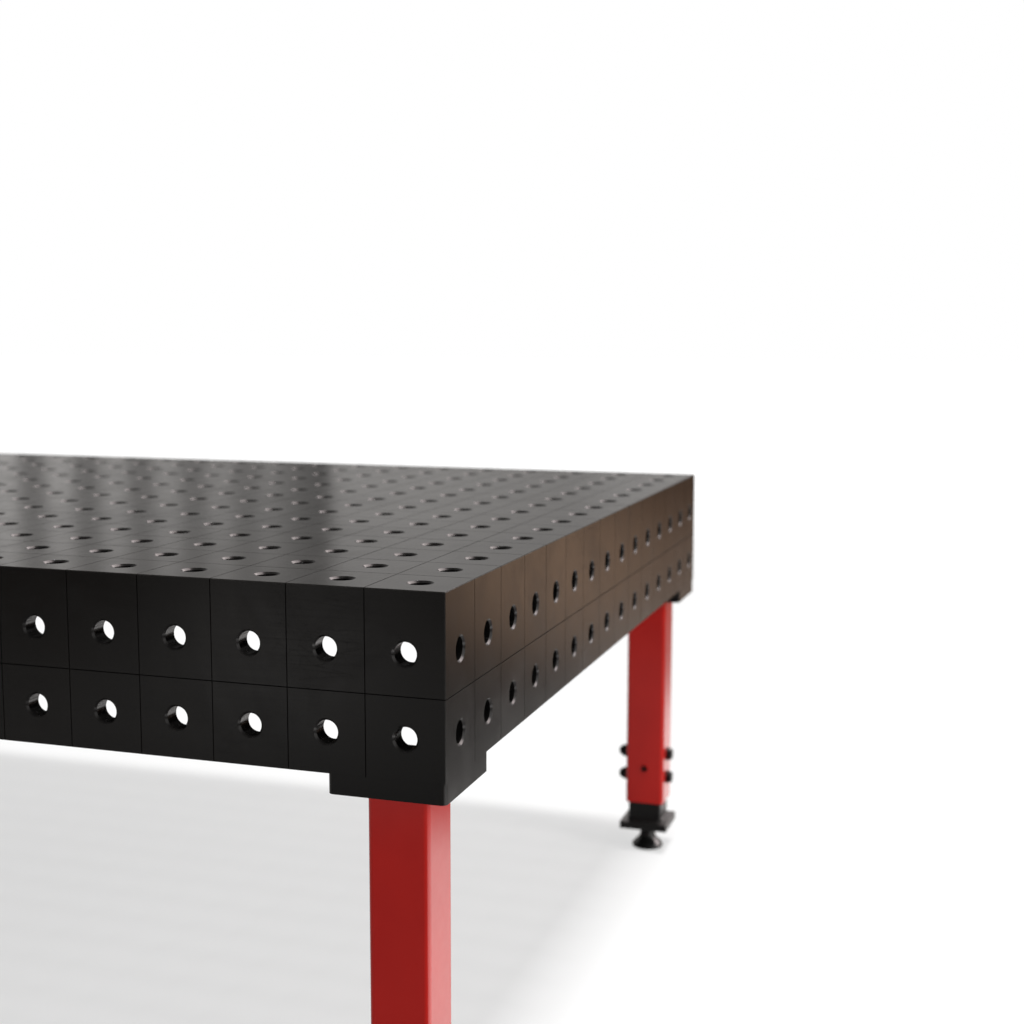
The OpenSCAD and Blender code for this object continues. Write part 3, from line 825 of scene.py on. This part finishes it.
    o_ = refine("swivel_ball_" + k_, M_ZINC, 0.0, 1, clean=False)
    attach(o_, "ball_" + k_)

# ------------------------------------------------------------------ stitch welds under the top
rib_beads = []
zt = H - PT
for n_ in ("rib_long_front", "rib_long_rear"):
    lo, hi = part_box(n_)
    for x0 in np.arange(-1.35, 1.36, 0.3):
        if min(abs(x0 + 0.03 - q) for q in (-0.7, 0.0, 0.7)) < 0.05:
            x0 = x0 + 0.08
        for y_, s in ((lo.y, -1), (hi.y, 1)):
            rib_beads.append(bead([(x0, y_, zt), (x0 + 0.06, y_, zt)], (0, s, 0), (0, 0, -1), 0.005))
for n_ in ("rib_cross_left", "rib_cross_middle", "rib_cross_right"):
    lo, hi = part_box(n_)
    for y0 in (-0.62, -0.42, -0.15, 0.09, 0.36, 0.56):
        for x_, s in ((lo.x, -1), (hi.x, 1)):
            rib_beads.append(bead([(x_, y0, zt), (x_, y0 + 0.06, zt)], (s, 0, 0), (0, 0, -1), 0.005))
bead_object("rib_stitch_welds", rib_beads, M_WELD, "table")

inside = []
for s in (-1, 1):
    for x0 in np.arange(-1.3, 1.31, 0.4):
        inside.append(bead([(x0 - 0.05, s * (W2 - PT), zt), (x0 + 0.05, s * (W2 - PT), zt)], (0, -s, 0), (0, 0, -1), 0.007))
    for y0 in (-0.5, -0.05, 0.4):
        inside.append(bead([(s * (L2 - PT), y0, zt), (s * (L2 - PT), y0 + 0.1, zt)], (-s, 0, 0), (0, 0, -1), 0.007))
for k_, (sx, sy) in LEGS.items():
    inside.append(bead([(sx * (L2 - 0.145), sy * (W2 - PT), SIDE_Z), (sx * (L2 - 0.035), sy * (W2 - PT), SIDE_Z)],
                       (0, -sy, 0), (0, 0, 1), 0.007))
    inside.append(bead([(sx * (L2 - PT), sy * (W2 - 0.145), SIDE_Z), (sx * (L2 - PT), sy * (W2 - 0.035), SIDE_Z)],
                       (-sx, 0, 0), (0, 0, 1), 0.007))
    inside.append(bead([(sx * (L2 - PT), sy * (W2 - PT), SIDE_Z + 0.004), (sx * (L2 - PT), sy * (W2 - PT), zt - 0.01)],
                       (-sx, 0, 0), (0, -sy, 0), 0.006))
bead_object("body_welds", inside, M_WELD, "table")

# ------------------------------------------------------------------ stage, light, camera
floor_me = bpy.data.meshes.new("floor")
floor_me.from_pydata([(-60, -60, 0), (60, -60, 0), (60, 60, 0), (-60, 60, 0)], [], [(0, 1, 2, 3)])
floor = link(bpy.data.objects.new("floor", floor_me))
mf, nt, b = material("pale_floor")
out = next(x for x in nt.nodes if x.type == "OUTPUT_MATERIAL")
b.inputs["Base Color"].default_value = (0.22, 0.22, 0.22, 1)
b.inputs["Roughness"].default_value = 1.0
b.inputs["Specular IOR Level"].default_value = 0.0
glow = nt.nodes.new("ShaderNodeEmission")
glow.inputs["Color"].default_value = (1, 1, 1, 1)
glow.inputs["Strength"].default_value = 0.64
fl = N(nt)
fx, fy, _ = fl.sep(fl.tc.outputs["Object"])
far = fl.math("SQRT", fl.math("ADD", fl.math("MULTIPLY", fx, fx), fl.math("MULTIPLY", fy, fy)))
nt.links.new(fl.ramp(far, 3.5, 9.0, 0.64, 1.0), glow.inputs["Strength"])
add = nt.nodes.new("ShaderNodeAddShader")
nt.links.new(b.outputs[0], add.inputs[0])
nt.links.new(glow.outputs[0], add.inputs[1])
nt.links.new(add.outputs[0], out.inputs[0])
floor_me.materials.append(mf)
floor.visible_glossy = False
# the floor stays just under the lowest foot pad when a leg or a foot is let down
drop = floor.driver_add("location", 2).driver
drop.type = "SCRIPTED"
terms = []
for i_, (k_, (sx, sy)) in enumerate(LEGS.items()):
    mark = link(bpy.data.objects.new("foot_mark_" + k_, None))
    mark.empty_display_size = 0.01
    mark.location = (sx * LX, sy * LY, 0.016)
    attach(mark, "ball_" + k_)
    for name_, target, kind in (("abcd"[i_], mark, "LOC_Z"), ("efgh"[i_], bpy.data.objects["body:pad_" + k_], "ROT_X")):
        var = drop.variables.new()
        var.name, var.type = name_, "TRANSFORMS"
        var.targets[0].id = target
        var.targets[0].transform_type = kind
        var.targets[0].transform_space = "WORLD_SPACE"
    terms.append("%s-.016-.0325*abs(sin(%s))" % ("abcd"[i_], "efgh"[i_]))
drop.expression = "min(0," + ",".join(terms) + ")"

world = bpy.data.worlds.new("studio")
bpy.context.scene.world = world
world.use_nodes = True
wt = world.node_tree
wt.nodes.clear()
wo = wt.nodes.new("ShaderNodeOutputWorld")
w = N(wt)
gen = w.tc.outputs["Generated"]
x, y, z = w.sep(gen)
az = w.math("ARCTAN2", x, y)                          # 0 ahead (+y), positive to the right
azd = w.math("MULTIPLY", az, 180.0 / math.pi)


def ramp_of(value, stops):
    """Piecewise smooth curve of a value through (position, height) stops."""
    lo, hi = stops[0][0], stops[-1][0]
    n = wt.nodes.new("ShaderNodeValToRGB")
    w.link(w.ramp(value, lo, hi, 0.0, 1.0, smooth=False), n.inputs[0])
    while len(n.color_ramp.elements) < len(stops):
        n.color_ramp.elements.new(0.5)
    for e, (q, v) in zip(n.color_ramp.elements, stops):
        e.position, e.color = (q - lo) / (hi - lo), (v, v, v, 1.0)
    return n.outputs[0]


def lobe(az_deg, el_deg, radius_deg):
    """Soft round patch of sky or floor: 1 in the middle, 0 past its radius."""
    a, e = math.radians(az_deg), math.radians(el_deg)
    n = wt.nodes.new("ShaderNodeVectorMath")
    n.operation = "DOT_PRODUCT"
    w.link(gen, n.inputs[0])
    n.inputs[1].default_value = (math.sin(a) * math.cos(e), math.cos(a) * math.cos(e), math.sin(e))
    return w.ramp(n.outputs["Value"], math.cos(math.radians(radius_deg)), 1.0)


def scaled(colour, value):
    n = wt.nodes.new("ShaderNodeVectorMath")
    n.operation = "SCALE"
    w.set(n.inputs[0], colour)
    w.set(n.inputs["Scale"], value)
    return n.outputs[0]


def plus(a, b):
    n = wt.nodes.new("ShaderNodeVectorMath")
    w.link(a, n.inputs[0])
    w.link(b, n.inputs[1])
    return n.outputs[0]


# ahead: an even wall to the right, window slats to the left
wall = ramp_of(azd, [(-42, 0.22), (-34, 0.21), (-27, 0.235), (-26.3, 0.19), (-25.7, 0.12), (-25.3, 0.12), (-25.0, 0.44),
                     (-21, 0.42), (-15.5, 0.35), (-13.5, 0.42), (-11, 0.45)])
slat = w.math("MULTIPLY_ADD", w.math("COSINE", w.math("MULTIPLY", w.math("ADD", azd, 35.5), math.pi)), 0.5, 0.5)
slat = w.math("MULTIPLY", w.ramp(slat, 0.22, 0.78), ramp_of(azd, [(-80, 0.22), (-38, 0.40), (-34, 0.28), (-28, 0.13), (-26.5, 0.0), (0, 0.0)]))
wall = w.math("MULTIPLY", w.math("ADD", wall, slat), w.ramp(y, -0.45, 0.55, 0.26, 1.0))
right = w.ramp(x, 0.45, 0.95, 0.0, 0.9)
lp = wt.nodes.new("ShaderNodeLightPath")
gleam = w.math("MULTIPLY", ramp_of(azd, [(-14, 0.0), (-9, 1.0), (66, 1.0), (78, 0.0)]),
               ramp_of(z, [(0.37, 0.0), (0.44, 5.0), (0.94, 5.0), (0.98, 0.0)]))
gleam = w.math("MULTIPLY", gleam, lp.outputs["Is Glossy Ray"])
sky = plus(scaled((1.0, 0.97, 0.945), w.math("ADD", wall, right)), scaled((1.0, 0.88, 0.87), gleam))
# below the horizon: brown close to it, pale further down, dim behind the camera
el = w.math("MULTIPLY", w.math("ARCSINE", z), 180.0 / math.pi)
azc = w.math("MAXIMUM", w.math("MINIMUM", azd, 26.0), 8.0)
edge = w.math("ADD", el, w.math("MULTIPLY_ADD", azc, 0.93, -0.86))        # degrees above the lit floor's edge
lit = w.math("MULTIPLY", w.ramp(edge, -2.4, 0.9, 1.0, 0.0),
             ramp_of(azd, [(-180, 0.0), (-120, 0.0), (-70, 0.3), (-20, 0.5), (12, 0.16), (21, 0.10), (40, 0.4), (60, 0.5), (100, 0.25), (130, 0.0)]))
bank = w.math("MULTIPLY", ramp_of(z, [(-0.52, 0.0), (-0.48, 1.0), (-0.345, 1.0), (-0.315, 0.0)]),
              ramp_of(azd, [(14, 0.0), (18, 1.1), (23, 1.2), (40, 1.9), (62, 2.8), (108, 2.8), (132, 0.0)]))
bank = w.math("ADD", bank, w.math("MULTIPLY", w.ramp(edge, -4.6, -3.8, 1.0, 0.0), ramp_of(azd, [(4, 0.0), (7, 1.3), (13, 1.3), (16, 0.0)])))
bank = w.math("MULTIPLY", bank, lp.outputs["Is Glossy Ray"])
lit = w.math("ADD", lit, bank)
behind = w.math("MULTIPLY", ramp_of(z, [(-1.0, 0.10), (-0.42, 0.04), (-0.335, 0.04), (-0.305, 0.24), (-0.23, 0.30), (-0.195, 0.05), (-0.16, 0.02), (0.0, 0.02)]),
                w.ramp(y, -0.35, 0.55, 1.0, 0.0))
dusk = w.math("MULTIPLY", ramp_of(z, [(-1.0, 0.12), (-0.31, 0.08), (-0.25, 0.05), (0.0, 0.02)]), w.ramp(y, -0.35, 0.55, 0.0, 1.0))
low = w.mix(w.ramp(z, -0.26, -0.215), scaled((1.0, 0.93, 0.88), dusk), scaled((0.080, 0.046, 0.029), w.ramp(y, -0.35, 0.4, 0.15, 1.0)))
low = plus(low, scaled((1.0, 0.97, 0.95), w.math("ADD", lit, behind)))
low = plus(low, scaled((0.84, 0.56, 0.38), lobe(17.2, -8.9, 4.6)))
low = plus(low, scaled((0.05, 0.022, 0.010), lobe(13.0, -7.0, 5.0)))
low = plus(low, scaled((0.85, 0.82, 0.80), lobe(-152.7, -11.5, 4.0)))
env = w.mix(w.ramp(z, -0.015, 0.015), low, sky)
bg = wt.nodes.new("ShaderNodeBackground")
w.link(env, bg.inputs[0])
bg.inputs[1].default_value = 1.0
white = wt.nodes.new("ShaderNodeBackground")
white.inputs[0].default_value = (1, 1, 1, 1)
white.inputs[1].default_value = 1.0
mixb = wt.nodes.new("ShaderNodeMixShader")
wt.links.new(lp.outputs["Is Camera Ray"], mixb.inputs[0])
wt.links.new(bg.outputs[0], mixb.inputs[1])
wt.links.new(white.outputs[0], mixb.inputs[2])
wt.links.new(mixb.outputs[0], wo.inputs[0])


def area(name, loc, target, size, size_y, energy, color=(1, 1, 1)):
    d = bpy.data.lights.new(name, "AREA")
    d.shape = "RECTANGLE"
    d.size, d.size_y, d.energy, d.color = size, size_y, energy, color
    o = link(bpy.data.objects.new(name, d))
    o.location = loc
    o.rotation_euler = (Vector(target) - Vector(loc)).to_track_quat("-Z", "Y").to_euler()
    return o


key = area("key", (4.2, -1.0, 20.0), (0, 0, 0), 1.9, 4.9, 5700.0)
key.visible_glossy = False
side = area("side", (5.4, -0.7, 2.4), (1.45, -0.7, 0.65), 1.3, 1.3, 82.0, (1.0, 0.96, 0.95))
side.visible_glossy = False

cam_d = bpy.data.cameras.new("camera")
cam = link(bpy.data.objects.new("camera", cam_d))
cam_d.sensor_width = 36.0
cam_d.lens = 36.0 * 1435.78 / 1024.0
cam_d.clip_start, cam_d.clip_end = 0.05, 200.0
R = Matrix(((0.95146074, 0.30776479, 0.00181754), (0.03870933, -0.11380786, -0.99274839),
            (-0.30532614, 0.94463147, -0.12019708)))  # rows: right, down, ahead
cam.matrix_world = Matrix.Translation((L2 + 0.563646, -W2 - 1.497525, H + 0.284355)) @ Matrix(
    ((R[0][0], -R[1][0], -R[2][0]), (R[0][1], -R[1][1], -R[2][1]), (R[0][2], -R[1][2], -R[2][2]))).to_4x4()
bpy.context.scene.camera = cam
cam_d.dof.use_dof = True
focus = link(bpy.data.objects.new("focus", None))      # sharp just behind the table's near corner
focus.location = (L2 - 0.04, -W2 + 0.06, H - 0.10)
focus.empty_display_size = 0.02
cam_d.dof.focus_object = focus
cam_d.dof.aperture_fstop = 4.0
cam_d.shift_x, cam_d.shift_y = -0.5 / 1024.0, 0.5 / 1024.0

bpy.context.scene.view_settings.view_transform = "Standard"
bpy.context.scene.view_settings.look = "None"
